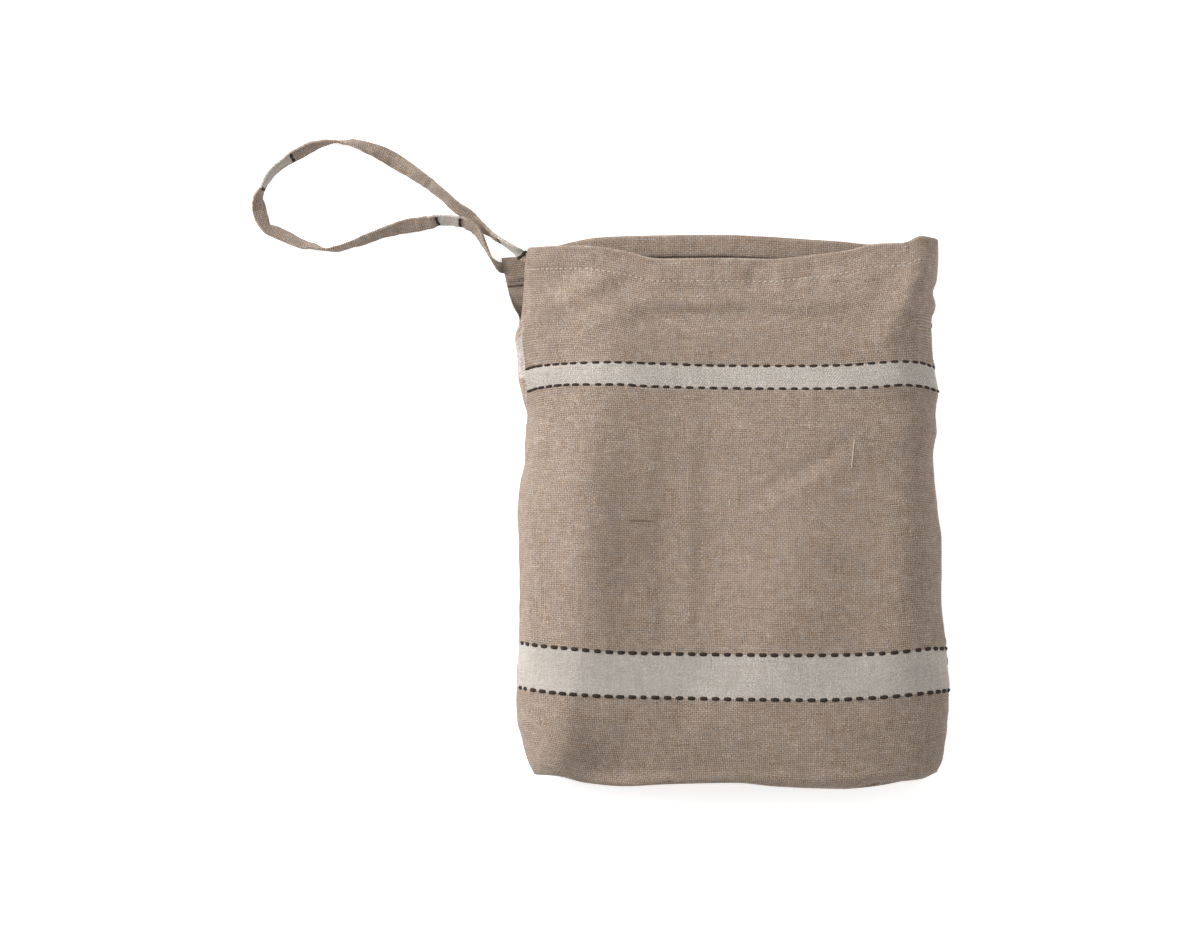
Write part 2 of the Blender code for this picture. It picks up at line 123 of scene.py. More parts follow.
# Folds grow from the mouth edge down over this length
FOLD_START = 0.014
# Beside the slit the front droops at its open edge by a share of its height
OPEN_DROOP = 0.42
OPEN_POWER = 6

# Edges and woven lines in pixels down the photograph; across runs from -1 at the left edge to 1 at the right
LINES = table(
    "Line", "across mouth narrow_top narrow_bottom wide_top wide_bottom base back_mouth",
    (-1, 246.5, 371.5, 393.5, 642.5, 687, 775, 257.5),
    (-0.9, 245.5, 366, 387.5, 645.5, 690.5, 776, 255.5),
    (-0.75, 245, 363.5, 384.7, 648.5, 693.8, 783, 245.5),
    (-0.55, 249.5, 362.3, 384.5, 652, 696.3, 786.3, 236.8),
    (-0.35, 258, 363.6, 386.7, 653.2, 697.2, 784.4, 235),
    (0, 257.5, 365.8, 388.3, 654.4, 698.9, 783, 234.2),
    (0.2, 258.3, 366, 388.8, 654.8, 699.4, 786.6, 235.8),
    (0.4, 254.3, 365.9, 388.8, 654.9, 699.7, 788.4, 238.7),
    (0.55, 250.2, 365.4, 388.3, 654.3, 698.5, 789, 240.8),
    (0.7, 243.2, 363.3, 387, 653, 696.7, 782.8, 243.8),
    (0.83, 242.3, 361.5, 385, 650.5, 694, 781.3, 243),
    (0.92, 235.6, 362.3, 386.4, 648.5, 692, 779.5, 242),
    (1, 238, 367.5, 391.5, 648.5, 690, 773, 238),
)
# Where the woven lines lie along the cloth, from the mouth edge down
FRONT_ROWS = {"narrow_top": 0.0530, "narrow_bottom": 0.0627, "wide_top": 0.1850, "wide_bottom": 0.2060}
BACK_ROWS = {"wide_top": 0.0395, "wide_bottom": 0.0567, "narrow_top": 0.1850, "narrow_bottom": 0.1945}
BASE_ROW = 0.2425

# Folds and dents of the front: both ends and the width in pixels, and the lift in millimetres
FOLDS = table(
    "Fold", "x1 y1 x2 y2 width lift",
    (536, 296, 575, 272, 8, -1.1),
    (552, 306, 612, 276, 11, 1.4),
    (585, 304, 640, 275, 11, -1.2),
    (600, 322, 650, 300, 12, 1.1),
    (545, 345, 610, 318, 11, 0.9),
    (640, 303, 765, 302, 9, 1.5),
    (636, 317, 775, 315, 8, -1.2),
    (775, 306, 860, 300, 9, 1),
    (780, 318, 850, 312, 9, -0.5),
    (745, 270, 758, 280, 9, -2.3),
    (772, 268, 784, 284, 8, 1.5),
    (805, 262, 820, 274, 8, -2.2),
    (838, 256, 850, 270, 8, -1.8),
    (824, 268, 834, 290, 7, 1.3),
    (700, 264, 712, 290, 12, 1.1),
    (941, 262, 886, 336, 18, 5.4),
    (905, 268, 880, 290, 9, -0.8),
    (701, 430, 699, 650, 66, -7.2),
    (663, 410, 661, 650, 9, -0.55),
    (692, 400, 689, 650, 10, 0.9),
    (587, 425, 582, 640, 34, 5.6),
    (745, 505, 852, 441, 9, -1),
    (757, 515, 858, 453, 9, 0.5),
    (795, 560, 780, 650, 42, 2.2),
    (850, 520, 852, 640, 26, -0.8),
    (919, 440, 915, 650, 32, 5.2),
    (922, 250, 920, 345, 26, 3.4),
    (538, 300, 540, 372, 60, -7),
    (604, 262, 612, 372, 34, 2.6),
    (625, 258, 715, 258, 30, 2),
    (905, 280, 815, 290, 30, 3.2),
    (905, 330, 900, 380, 26, 1.2),
    (650, 715, 700, 735, 34, -1.8),
    (569, 698, 551, 775, 23, 4),
    (596, 790, 626, 748, 30, -3.2),
    (604, 792, 760, 802, 46, -5.4),
    (935, 392, 900, 402, 8, -1),
    (932, 410, 905, 430, 9, 0.9),
    (938, 294, 908, 300, 8, -1),
    (934, 325, 905, 345, 9, -0.8),
    (522, 320, 560, 330, 8, -0.6),
    (524, 400, 565, 412, 8, 0.7),
    (523, 421, 560, 434, 8, -0.6),
    (935, 745, 926, 768, 5, -1),
    (918, 748, 908, 775, 9, 0.8),
    (525, 745, 560, 735, 8, -0.6),
)
# Share of a fold's lift at its ends, what its middle adds, and the power by which folds fade to the sides
FOLD_ENDS = 0.55
FOLD_MIDDLE = 0.45
FOLD_FADE = 10

# Mesh of the cloth: columns across each panel and rows from the base to the mouth and down the hem
MIDDLE_COLUMNS = 84
MIDDLE_SHARE = 0.72
SIDE_COLUMNS = 14
ROW_STEP = 0.0017
BASE_TURNS = (80, 66, 52, 38, 25, 12)
SLIT_ROWS = 14
CASING_ROWS = (0.0142, 0.0134, 0.0127, 0.0121, 0.0116, 0.0112, 0.0108, 0.0104, 0.01, 0.0095, 0.0088)
CASING_ROWS += (0.0078, 0.0066, 0.0054, 0.0042, 0.003, 0.0016)
RIM_TURNS = (22, 55, 90, 125, 158)
RIM_DEPTH = 0.0016
HEM_STEP = 0.001
HEM_ROWS = 8
HEM_TAIL_ROWS = 3


def smooth(t):
    t = np.clip(t, 0.0, 1.0)
    return t * t * (3 - 2 * t)


def eased(along, start, length):
    return smooth((along - start) / length)


def ripple(x, y, z):
    """Smooth noise, from about -1 to 1."""
    return noise.noise(Vector((x, y, z)))


def curve(places, values):
    """A smooth curve through the values that never overshoots, as a function of arrays."""
    places, values = np.array(places, float), np.array(values, float)
    slopes = np.diff(values) / np.diff(places)
    before = np.concatenate([slopes[:1], slopes])
    after = np.concatenate([slopes, slopes[-1:]])
    product, total = before * after, before + after
    ends = np.where(product > 0, 2 * product / np.where(total == 0, 1, total), 0.0)

    def at(x):
        x = np.clip(x, places[0], places[-1])
        k = np.clip(np.searchsorted(places, x, side="right") - 1, 0, len(places) - 2)
        run = places[k + 1] - places[k]
        t = (x - places[k]) / run
        rest = (3 - 2 * t) * t * t
        bend_in = ends[k] * run * t * (1 - t) ** 2
        bend_out = ends[k + 1] * run * t * t * (1 - t)
        return values[k] * (1 - rest) + values[k + 1] * rest + bend_in - bend_out

    return at


def curves(rows):
    """A curve for each column of a table, over its first column."""
    at, *others = zip(*rows)
    return {name: curve(at, values) for name, values in zip(rows[0]._fields[1:], others)}


SECTION = curves(SECTIONS)
LINE = curves(LINES)


# Places across of a panel's columns, closer at the sides
MIDDLE = np.linspace(-MIDDLE_SHARE, MIDDLE_SHARE, MIDDLE_COLUMNS + 1)
SIDE = 1 - (1 - MIDDLE_SHARE) * (1 - np.arange(1, SIDE_COLUMNS + 1) / SIDE_COLUMNS) ** 2
ACROSS = np.concatenate([-SIDE[::-1], MIDDLE, SIDE])
PANEL = len(ACROSS) - 1
RING = 2 * PANEL
RING_FRONT = np.arange(RING + 1) <= PANEL
# Below the slit the left seam lies a little onto the front, and a strip of the back shows beside it. It grows
# and ends from these places along the cloth, each over its length.
STRIP_COLUMNS = 4
STRIP_SHARE = 0.031
SEAM_SHARE = 0.002
STRIP_GROWS = (0.033, 0.005)
STRIP_ENDS = (0.058, 0.016)
# Beside the slit the front's edge is drawn down to the seam, from this place along the cloth
PULL_START = 0.012
PULL_RUN = SLIT_DEPTH - PULL_START


def ring_across(along):
    """Place across of each ring column, along the front and back along the back."""
    share = SEAM_SHARE + STRIP_SHARE * eased(along, *STRIP_GROWS) * (1 - eased(along, *STRIP_ENDS))
    front = ACROSS.copy()
    front[: STRIP_COLUMNS + 1] = -1 + share * np.arange(STRIP_COLUMNS + 1) / STRIP_COLUMNS
    t = np.arange(1, SIDE_COLUMNS - STRIP_COLUMNS + 1) / (SIDE_COLUMNS - STRIP_COLUMNS)
    front[STRIP_COLUMNS + 1 : SIDE_COLUMNS + 1] = -MIDDLE_SHARE - (1 - MIDDLE_SHARE - share) * (1 - t) ** 2
    return np.concatenate([front, ACROSS[-2::-1]])


# Share of the casing's thickness along the ring: it lies flatter at the back's end beside the slit
PRESS_SHARE = 0.42
PRESS_COLUMNS = 16
PRESSED = 1 - PRESS_SHARE * smooth((np.arange(RING + 1) - RING + PRESS_COLUMNS) / PRESS_COLUMNS)


def world_y(pixel):
    return (PHOTO_ORIGIN[1] - pixel) * PIXEL


def row_y(along, across, front):
    """World y of a place along the cloth from the mouth edge, for each column."""
    mouth = world_y(LINE["mouth" if front else "back_mouth"](across))
    base = world_y(LINE["base"](across)) + BASE_ROUND
    if along <= SLIT_DEPTH:
        return mouth - along
    marks = [(SLIT_DEPTH, mouth - SLIT_DEPTH)]
    if front:
        marks += [(v, world_y(LINE[name](across))) for name, v in FRONT_ROWS.items()]
    marks.append((BASE_ROW, base))
    k = max(i for i, mark in enumerate(marks[:-1]) if mark[0] <= along)
    (v1, y1), (v2, y2) = marks[k], marks[k + 1]
    t = (along - v1) / (v2 - v1)
    return y1 * (1 - t) + y2 * t


def fold_lift(x, y, across):
    """Lift of the folds and dents at world places."""
    px, py = x / PIXEL + PHOTO_ORIGIN[0], PHOTO_ORIGIN[1] - y / PIXEL
    total = np.zeros_like(px)
    for fold in FOLDS:
        run_x, run_y = fold.x2 - fold.x1, fold.y2 - fold.y1
        t = ((px - fold.x1) * run_x + (py - fold.y1) * run_y) / (run_x**2 + run_y**2)
        t = np.clip(t, 0, 1)
        away = np.hypot(px - fold.x1 - t * run_x, py - fold.y1 - t * run_y)
        swell = FOLD_ENDS + FOLD_MIDDLE * np.sin(pi * t)
        total += fold.lift / 1000 * np.exp(-((away / fold.width) ** 2)) * swell
    return total * (1 - np.abs(across) ** FOLD_FADE)


def draw_to_seam(y, along, sunk):
    """Draw the front's left columns down to the back's edge that they are sewn to."""
    strip = np.arange(STRIP_COLUMNS + 1) / STRIP_COLUMNS
    seam_y = row_y(along, np.array([-1.0]), False) - sunk
    sewn = seam_y * (1 - strip) + y[STRIP_COLUMNS] * strip
    y[: STRIP_COLUMNS + 1] += (sewn - y[: STRIP_COLUMNS + 1]) * eased(along, PULL_START, PULL_RUN)


def front_height(at, across, inset, open_share):
    """Height of the front without its folds, closed over the seams or open beside the slit."""
    rise = SECTION["rise"](at) * FULLNESS
    widest = rise * SECTION["seam"](at)
    away = np.abs(across)
    top = rise - BASE_DEPTH_ROUND * inset
    closed = widest + (top - widest) * np.sqrt(np.clip(1 - away ** SECTION["shoulder"](at), 0, 1))
    opened = rise * (1 - OPEN_DROOP * away**OPEN_POWER)
    return closed + (opened - closed) * open_share


def back_height(at, across, inset, open_share):
    """Height of the back, which lies on the floor and curls up to the seams."""
    widest = SECTION["rise"](at) * FULLNESS * SECTION["seam"](at)
    flat = SECTION["flat"](at)
    curl = np.clip(np.abs(across) - flat, 0, 1) / (1 - flat)
    low = BACK_ROUND * inset
    closed = widest - (widest - low) * np.sqrt(np.clip(1 - curl * curl, 0, 1))
    return closed * (1 - open_share)


def panel_row(along, turn, front):
    """Points of one panel's outer skin in one row, at a turn in degrees round the base."""
    across = ring_across(along)[RING_FRONT if front else ~RING_FRONT]
    sunk = BASE_ROUND * sin(radians(turn))
    inset = 1 - cos(radians(turn))
    y = row_y(along, across, front) - sunk
    if front:
        draw_to_seam(y, along, sunk)
    at = y / POUCH_HEIGHT + 0.5
    open_share = 0.0
    if along < SLIT_DEPTH:
        open_share = smooth((SLIT_DEPTH - along) / (SLIT_DEPTH - HEM_DEPTH)) * (across < 0)
    left = SECTION["left_front" if front else "left_back"](at) * POUCH_WIDTH
    right = SECTION["right"](at) * POUCH_WIDTH
    half = (right - left) / 2 - SIDE_ROUND * inset
    x = (left + right) / 2 + across * half
    if front:
        slack = smooth(along / FOLD_START) * cos(radians(turn)) ** 2
        z = front_height(at, across, inset, open_share) + fold_lift(x, y, across) * slack
    else:
        z = back_height(at, across, inset, open_share)
    return np.stack([x, y, z], axis=1)


def skin_row(along, turn=0.0):
    """Points of the outer skin in one row of the ring, before wrinkles."""
    return np.concatenate([panel_row(along, turn, True), panel_row(along, turn, False)])


# Rows of the cloth: place along the cloth, turn round the base, and the inward offset of the skin
Row = namedtuple("Row", "along turn inside part")


def row_list():
    """All rows, up from the base to the mouth edge and down inside the hem."""
    rows = [Row(BASE_ROW, turn, 0.0, "base") for turn in BASE_TURNS]
    lines = sorted({*FRONT_ROWS.values(), *BACK_ROWS.values()}, reverse=True)
    marks = [BASE_ROW, *lines, SLIT_DEPTH]
    for start, stop in zip(marks, marks[1:]):
        count = round((start - stop) / ROW_STEP)
        rows += [Row(start + (stop - start) * k / count, 0.0, 0.0, "body") for k in range(count)]
    beside_slit = np.linspace(SLIT_DEPTH, HEM_DEPTH + HEM_STEP, SLIT_ROWS)[:-1]
    rows += [Row(v, 0.0, 0.0, "body") for v in beside_slit]
    rows += [Row(v, 0.0, 0.0, "casing") for v in CASING_ROWS]
    for turn in RIM_TURNS:
        depth = RIM_DEPTH * (1 - sin(radians(turn)))
        rows.append(Row(depth, 0.0, CASING_WALL / 2 * (1 - cos(radians(turn))), "rim"))
    rows += [Row(v, 0.0, CASING_WALL, "hem") for v in np.linspace(RIM_DEPTH, TUNNEL_DEPTH, HEM_ROWS)]
    rows.append(Row((TUNNEL_DEPTH + STITCH_DEPTH) / 2, 0.0, (CASING_WALL + HEM_WALL) / 2, "hem"))
    rows += [Row(v, 0.0, HEM_WALL, "hem") for v in np.linspace(STITCH_DEPTH, HEM_DEPTH, HEM_TAIL_ROWS)]
    return rows


# Steps up and down from a row over which the cloth's slope is taken
SLOPE_STEP = 0.0006
SLOPE_TURN = 4
LAST_TURN = 89


def ring_normals(points, along, turn):
    """Unit vectors into the pouch at each column of a row."""
    if turn:
        up, down = skin_row(along, turn - SLOPE_TURN), skin_row(along, min(turn + SLOPE_TURN, LAST_TURN))
    elif along <= SLOPE_STEP:
        up, down = skin_row(along), skin_row(along + SLOPE_STEP)
    else:
        up, down = skin_row(along - SLOPE_STEP), skin_row(along + SLOPE_STEP)
    across = np.empty_like(points)
    across[1:-1] = points[2:] - points[:-2]
    if along < SLIT_DEPTH:
        across[0], across[-1] = points[1] - points[0], points[-1] - points[-2]
    else:
        across[0] = across[-1] = points[1] - points[-2]
    normal = np.cross(up - down, across)
    return normal / np.linalg.norm(normal, axis=1)[:, None]


# Small waves of the cloth: height, how many there are to a metre in x, y and z, and a seed
Wave = namedtuple("Wave", "height per_x per_y per_z seed")
WAVES = (
    Wave(0.00045, 42, 26, 8, 3.1),
    Wave(0.00016, 120, 70, 20, 9.7),
    Wave(0.00005, 260, 190, 0, 5.2),
)
# Share of the waves that the back keeps, and the height below which the cloth lies flat on the floor
BACK_WAVES = 0.25
FLAT_BELOW = 0.0015
# Puckers along the stitches: share, number to a metre and seed of their waves; and the stitches' groove
PUCKERS = ((1.0, 150, 4.4), (0.5, 330, 8.1))
PUCKER_HEIGHT = 0.00042
PUCKER_REACH = 0.0065
PUCKER_LEAST = 0.02
GROOVE_DEPTH = 0.00025
GROOVE_REACH = 0.0008
# Tucks of the side seams, in metres; one step of a place across is half the pouch's width
SEAM_HALF = 0.1
SEAM_REACH = 0.0005
SEAM_LEAST = 0.01
SEAM_PULL = 0.0004
SEAM_TUCK = 0.0005
TUCKS_TO_METRE = 120


def loose_waves(point):
    """Outward height of the cloth's small waves at a point."""
    x, y, z = point
    return sum(
        wave.height * ripple(x * wave.per_x, y * wave.per_y, wave.seed + z * wave.per_z)
        for wave in WAVES
    )


def pucker(u):
    return sum(share * ripple(u * to_metre, seed, 0) for share, to_metre, seed in PUCKERS)


def seam_tucks(points, along):
    """Outward height of the tucks at the side seams in one row."""
    across = ring_across(along)
    lines = (across[STRIP_COLUMNS], 1.0)
    seam = sum(np.exp(-(((across - line) * SEAM_HALF / SEAM_REACH) ** 2)) for line in lines)
    height = np.zeros(len(points))
    for k in np.nonzero(seam > SEAM_LEAST)[0]:
        seed = 1.0 if across[k] > 0 else 7.0
        tuck = ripple(seed, points[k][1] * TUCKS_TO_METRE, 2.0)
        height[k] = seam[k] * (-SEAM_PULL + SEAM_TUCK * tuck)
    return height


def wrinkles(points, along, u, grooved):
    """Small waves of the cloth, as an outward height at each column of a row."""
    raised = points[:, 2] > FLAT_BELOW
    loose = np.where(RING_FRONT, 1.0, BACK_WAVES) * raised
    height = np.array([loose_waves(point) for point in points]) * loose
    near = np.exp(-(((along - STITCH_DEPTH) / PUCKER_REACH) ** 2))
    if near > PUCKER_LEAST:
        height += PUCKER_HEIGHT * np.array([pucker(at) for at in u]) * near * loose
    groove = np.exp(-(((along - STITCH_DEPTH) / GROOVE_REACH) ** 2)) * grooved
    height -= GROOVE_DEPTH * groove * raised
    if along >= SLIT_DEPTH:
        height += seam_tucks(points, along)
    return height


def make_mesh(name, points, faces, uvs=None, looks=(), picks=None):
    mesh = bpy.data.meshes.new(name)
    mesh.from_pydata([tuple(map(float, p)) for p in points], [], faces)
    for look in looks:
        mesh.materials.append(look)
    if uvs is not None:
        layer = mesh.uv_layers.new(name="cloth")
        for loop in mesh.loops:
            layer.data[loop.index].uv = uvs[loop.index]
    if picks is not None:
        mesh.polygons.foreach_set("material_index", picks)
    mesh.shade_smooth()
    made = bpy.data.objects.new(name, mesh)
    scene.collection.objects.link(made)
    return made


# The row whose length across stands for the cloth's, and the turn past which the base is smooth
REFERENCE_ROW = 0.12
SMOOTH_TURN = 60
# The weave's places are moved by this much on the back, on the base and on the hem
BACK_OFFSET = 1.0
BASE_OFFSET = 2.0
HEM_OFFSET = 0.004
# The base bulges outward between its seams, with waves so many to a metre across and up
BULGE = 0.0012
BULGE_WAVE = 0.0009
BULGE_ACROSS = 60
BULGE_UP = 90


class Cloth:
    """The sheet's rows of outer points, and its faces with their places on the cloth."""

    def __init__(self):
        self.rows = row_list()
        reference = skin_row(REFERENCE_ROW)
        length = np.concatenate([[0], np.cumsum(np.linalg.norm(np.diff(reference, axis=0), axis=1))])
        self.u = length - length[PANEL // 2]
        self.points, self.grid, self.skin, self.out = [], [], [], []
        self.faces, self.uvs, self.picks = [], [], []
        for row in self.rows:
            self.add_row(row)

    def add_row(self, row):
        base = skin_row(row.along, row.turn)
        normals = ring_normals(base, row.along, row.turn)
        fade = 0.0 if row.turn > SMOOTH_TURN else 1.0
        lift = wrinkles(base, row.along, self.u, row.part != "hem") * fade
        inside = row.inside * PRESSED if row.along <= TUNNEL_DEPTH else row.inside
        placed = base + normals * (inside - lift)[:, None]
        placed[:, 2] = np.maximum(placed[:, 2], 0.0)
        closed = row.along >= SLIT_DEPTH
        start = len(self.points)
        count = RING if closed else RING + 1
        self.points += list(placed[:count])
        self.grid.append(list(range(start, start + count)) + ([start] if closed else []))
        self.skin.append(placed)
        self.out.append(-normals)

    @staticmethod
    def band(along, front):
        """1 in a woven band and 0 in plain linen."""
        rows = FRONT_ROWS if front else BACK_ROWS
        narrow = rows["narrow_top"] < along < rows["narrow_bottom"]
        wide = rows["wide_top"] < along < rows["wide_bottom"]
        return int(narrow or wide)

    def sides(self):
        """Quads between the rows."""
        for low, high, one, two in zip(self.rows, self.rows[1:], self.grid, self.grid[1:]):
            middle = (low.along + high.along) / 2
            hem = high.part == "hem"
            v1 = low.along + BASE_ROUND * radians(low.turn)
            v2 = high.along + BASE_ROUND * radians(high.turn)
            if hem or low.part == "rim" or high.part == "rim":
                v1, v2 = self.hem_v(low), self.hem_v(high)
            plain = hem or low.part != "body"
            for k in range(RING):
                front = k < PANEL and (k >= STRIP_COLUMNS or middle < SLIT_DEPTH)
                self.faces.append((one[k], one[k + 1], two[k + 1], two[k]))
                offset = 0.0 if front else BACK_OFFSET
                u1, u2 = self.u[k], self.u[k + 1]
                self.uvs += [(u1, v1 + offset), (u2, v1 + offset), (u2, v2 + offset), (u1, v2 + offset)]
                self.picks.append(0 if plain else self.band(middle, front))

    @staticmethod
    def hem_v(row):
        """Place along the cloth of a row past the mouth edge, where it is negative."""
        if row.part == "hem":
            return -HEM_OFFSET - row.along
        if row.part == "rim":
            return -row.inside
        return row.along

    def base_grid(self):
        """Point numbers of the base's rows, from the front to the back; its sides take the seam columns."""
        ring, side, p = self.grid[0], SIDE_COLUMNS, self.points
        front = ring[side : PANEL - side + 1]
        right = ring[PANEL - side : PANEL + side + 1]
        back = [ring[RING - k] for k in range(side, PANEL - side + 1)]
        left = [ring[(RING + side - k) % RING] for k in range(2 * side + 1)]
        grid = [front]
        for i in range(1, 2 * side):
            v = i / (2 * side)
            chain = [left[i]]
            for j in range(1, MIDDLE_COLUMNS):
                u = j / MIDDLE_COLUMNS
                ends = p[front[j]] * (1 - v) + p[back[j]] * v
                sides = p[left[i]] * (1 - u) + p[right[i]] * u
                low = p[front[0]] * (1 - u) + p[front[-1]] * u
                high = p[back[0]] * (1 - u) + p[back[-1]] * u
                point = sides + ends - low * (1 - v) - high * v
                wave = ripple(point[0] * BULGE_ACROSS, point[2] * BULGE_UP, 1.7)
                point[1] += (BULGE + BULGE_WAVE * wave) * sin(pi * u) ** 0.5 * sin(pi * v)
                p.append(point)
                chain.append(len(p) - 1)
            grid.append(chain + [right[i]])
        return grid + [back]

    def base(self):
        """The base between the front's and the back's lowest rows."""
        grid = self.base_grid()
        for upper, lower in zip(grid, grid[1:]):
            for j in range(MIDDLE_COLUMNS):
                quad = (lower[j], lower[j + 1], upper[j + 1], upper[j])
                self.faces.append(quad)
                self.uvs += [(self.points[k][0], BASE_OFFSET + self.points[k][2]) for k in quad]
                self.picks.append(0)


# Materials
def node(tree, kind, **values):
    made = tree.nodes.new("ShaderNode" + kind)
    for key, value in values.items():
        setattr(made, key, value)
    return made


def settle(made, values):
    for name, value in values.items():
        made.inputs[name].default_value = value


def feed(tree, socket, value):
    """Set a socket to a number or a colour, or link another socket to it."""
    if isinstance(value, (int, float, tuple)):
        socket.default_value = value
    elif value is not None:
        tree.links.new(value, socket)


def maths(tree, operation, first, second=None, third=None, clamp=False):
    made = node(tree, "Math", operation=operation, use_clamp=clamp)
    for socket, value in zip(made.inputs, (first, second, third)):
        feed(tree, socket, value)
    return made.outputs[0]


def mix_colour(tree, factor, first, second, blend="MIX"):
    made = node(tree, "Mix", data_type="RGBA", blend_type=blend)
    for k, value in ((0, factor), (6, first), (7, second)):
        feed(tree, made.inputs[k], value)
    return made.outputs[2]


# Noise over the cloth: how many grains there are to a unit along u and v, a seed, and the detail
Grain = namedtuple("Grain", "per_u per_v seed detail")


def stretched_noise(tree, u, v, grain):
    combine = node(tree, "CombineXYZ")
    tree.links.new(maths(tree, "MULTIPLY", u, grain.per_u), combine.inputs[0])
    tree.links.new(maths(tree, "MULTIPLY", v, grain.per_v), combine.inputs[1])
    combine.inputs[2].default_value = grain.seed
    made = node(tree, "TexNoise")
    settle(made, {"Scale": 1.0, "Detail": grain.detail})
    tree.links.new(combine.outputs[0], made.inputs["Vector"])
    return made.outputs["Fac"]


def ramp(tree, factor, stops):
    made = node(tree, "ValToRGB")
    tree.links.new(factor, made.inputs[0])
    elements = made.color_ramp.elements
    while len(elements) < len(stops):
        elements.new(0.5)
    for element, (position, colour) in zip(elements, stops):
        element.position = position
        element.color = (*colour, 1.0)
    return made.outputs[0]


# Pitch of the yarns in metres, how far they sway, in yarns, and the grain of their sway
YARN = 0.00096
SWAY = 1.6
SWAY_U = Grain(130, 50, 2.2, 1.0)
SWAY_V = Grain(50, 130, 5.1, 1.0)
# A yarn's own place in the noise, and how fast its tone drifts along it
YARN_APART = 7.31
YARN_DRIFT = 0.09
WARP_SEED = 1.0
WEFT_SEED = 6.0
# How open the weave is, which sets how much painted shade shows between the yarns, its fibres, its clouds,
# its thick places and its relief in metres
OPENNESS = Grain(260, 260, 9.0, 2.0)
OPEN_GAIN = 2.6
OPEN_LOSS = -0.4
FIBRES = Grain(1.3, 1.3, 12.0, 2.0)
FIBRE_TONES = (0.68, 1.32)
CLOUDS = Grain(60, 60, 4.0, 2.0)
CLOUD_TONES = (0.95, 1.05)
THICK_PLACES = Grain(0.04, 0.6, 11.0, 2.0)
RELIEF = {"Strength": 0.5, "Distance": 0.0001}
CLOTH_SHADER = {"Roughness": 0.9, "Specular IOR Level": 0.2, "Sheen Weight": 0.1, "Sheen Roughness": 0.5}
# Tones of the warp and the weft, slope of a twill or 0, colour of the shade painted into the openings between
# the yarns and how far it shows
Weave = namedtuple("Weave", "warp weft twill hole gap")


def yarn_tones(tree, across, along, seed, stops):
    """Colour of the yarns of one direction, each with a tone of its own that drifts along it."""
    own = maths(tree, "MULTIPLY", maths(tree, "FLOOR", across), YARN_APART)
    return ramp(tree, stretched_noise(tree, own, along, Grain(1.0, YARN_DRIFT, seed, 3.0)), stops)


def mottled(tree, colour, places, grain, tones):
    """A colour multiplied by grey tones that vary over the cloth."""
    low, high = tones
    grey = ramp(tree, stretched_noise(tree, *places, grain), [(0.3, (low,) * 3), (0.7, (high,) * 3)])
    return mix_colour(tree, 1.0, colour, grey, "MULTIPLY")


def hump(tree, across):
    """Height over a yarn's section, 0 between two yarns and 1 on top."""
    return maths(tree, "ABSOLUTE", maths(tree, "SINE", maths(tree, "MULTIPLY", across, pi)))


def crossings(tree, u, v, twill):
    """Share of the warp on top, turn by turn in plain weave and along diagonals in twill."""
    if twill:
        wave = maths(tree, "SINE", maths(tree, "MULTIPLY", maths(tree, "ADD", u, v), pi * twill))
        return maths(tree, "ADD", maths(tree, "MULTIPLY", wave, 0.5), 0.5)
    cell = maths(tree, "ADD", maths(tree, "FLOOR", u), maths(tree, "FLOOR", v))
    return maths(tree, "FLOORED_MODULO", cell, 2.0)


def new_look(name, values):
    """A material with its tree and its shader."""
    made = bpy.data.materials.new(name)
    made.use_nodes = True
    shader = made.node_tree.nodes["Principled BSDF"]
    settle(shader, values)
    return made, made.node_tree, shader


def cloth_places(tree):
    """Places on the cloth in metres, and in swaying yarns."""
    coordinates = node(tree, "UVMap", uv_map="cloth")
    split = node(tree, "SeparateXYZ")
    tree.links.new(coordinates.outputs[0], split.inputs[0])
    run = (split.outputs[0], split.outputs[1])
    yarns = []
    for way, grain in zip(run, (SWAY_U, SWAY_V)):
        lean = maths(tree, "SUBTRACT", stretched_noise(tree, *run, grain), 0.5)
        sway = maths(tree, "MULTIPLY", lean, SWAY)
        yarns.append(maths(tree, "ADD", maths(tree, "DIVIDE", way, YARN), sway))
    return run, yarns


def gap_shade_share(tree, run, warp_hump, weft_hump, share):
    """Share of the shade painted dark into the openings between the yarns, more where the weave is open."""
    ridge = maths(tree, "MAXIMUM", warp_hump, weft_hump)
    gap = maths(tree, "SUBTRACT", 1.0, ridge)
    density = stretched_noise(tree, *run, OPENNESS)
    openness = maths(tree, "MULTIPLY_ADD", density, OPEN_GAIN, OPEN_LOSS)
    return maths(tree, "MULTIPLY", maths(tree, "MULTIPLY", gap, openness), share, clamp=True)


def relief(tree, shader, yarns, warp_hump, weft_hump, over):
    """Raise the upper yarn at each crossing and the thick places of the yarns."""
    upper = maths(tree, "MULTIPLY", warp_hump, over)
    lower = maths(tree, "MULTIPLY", weft_hump, maths(tree, "SUBTRACT", 1.0, over))
    thick = stretched_noise(tree, *yarns, THICK_PLACES)
    height = maths(tree, "ADD", maths(tree, "ADD", upper, lower), thick)
    bump = node(tree, "Bump")
    settle(bump, RELIEF)
    tree.links.new(height, bump.inputs["Height"])
    tree.links.new(bump.outputs[0], shader.inputs["Normal"])


